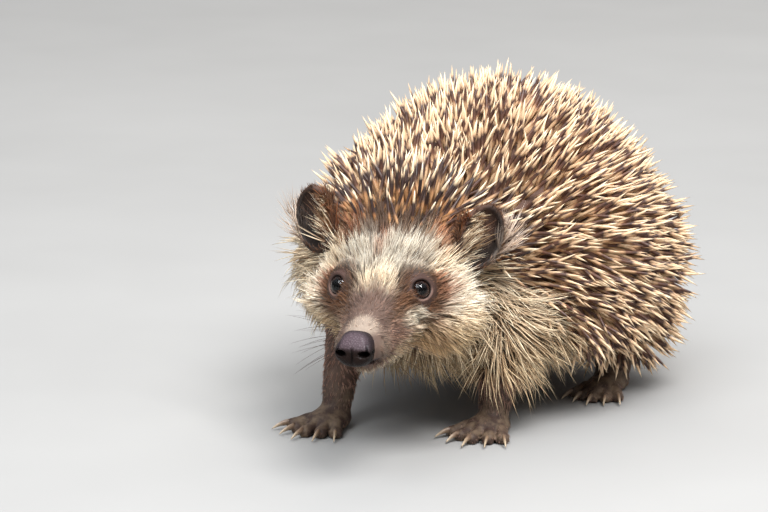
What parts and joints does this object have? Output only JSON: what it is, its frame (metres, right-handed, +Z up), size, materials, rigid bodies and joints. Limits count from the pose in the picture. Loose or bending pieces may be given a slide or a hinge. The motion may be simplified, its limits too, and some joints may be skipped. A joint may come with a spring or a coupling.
{
  "type": "hedgehog",
  "caption": "Life-size still model of a standing hedgehog, head low and turned to its left, with a spiny back and a furry face and skirt.",
  "frame": {"origin": "on the floor under the middle of the model's box", "axes": "+Z up, the body faces -Y, the animal's left side is at +X; the head is turned to its left"},
  "size_m": [0.1104, 0.1877, 0.0994],
  "materials": {
    "spiny_coat": "dense stiff spines, dark banded with ivory tips",
    "fur": "coarse cream to brown fur",
    "short_fur": "short grey-brown fur",
    "bare_skin": "thin dark brown skin with sparse short hairs",
    "nose_pad": "moist pebbled dark pad",
    "eye": "wet, glossy, near black"
  },
  "bodies": {
    "root": {"trunk": "spiny_coat", "neck": "spiny_coat", "head": "fur", "jaw": "fur", "nose": "nose_pad", "eye_left": "eye", "eye_right": "eye", "ear_left": "bare_skin", "ear_right": "bare_skin", "left_fore_leg": "short_fur", "left_fore_foot": "bare_skin", "right_fore_leg": "short_fur", "right_fore_foot": "bare_skin", "left_hind_leg": "short_fur", "left_hind_foot": "bare_skin", "right_hind_leg": "short_fur", "right_hind_foot": "bare_skin", "tail": "bare_skin"}
  },
  "joints": []
}
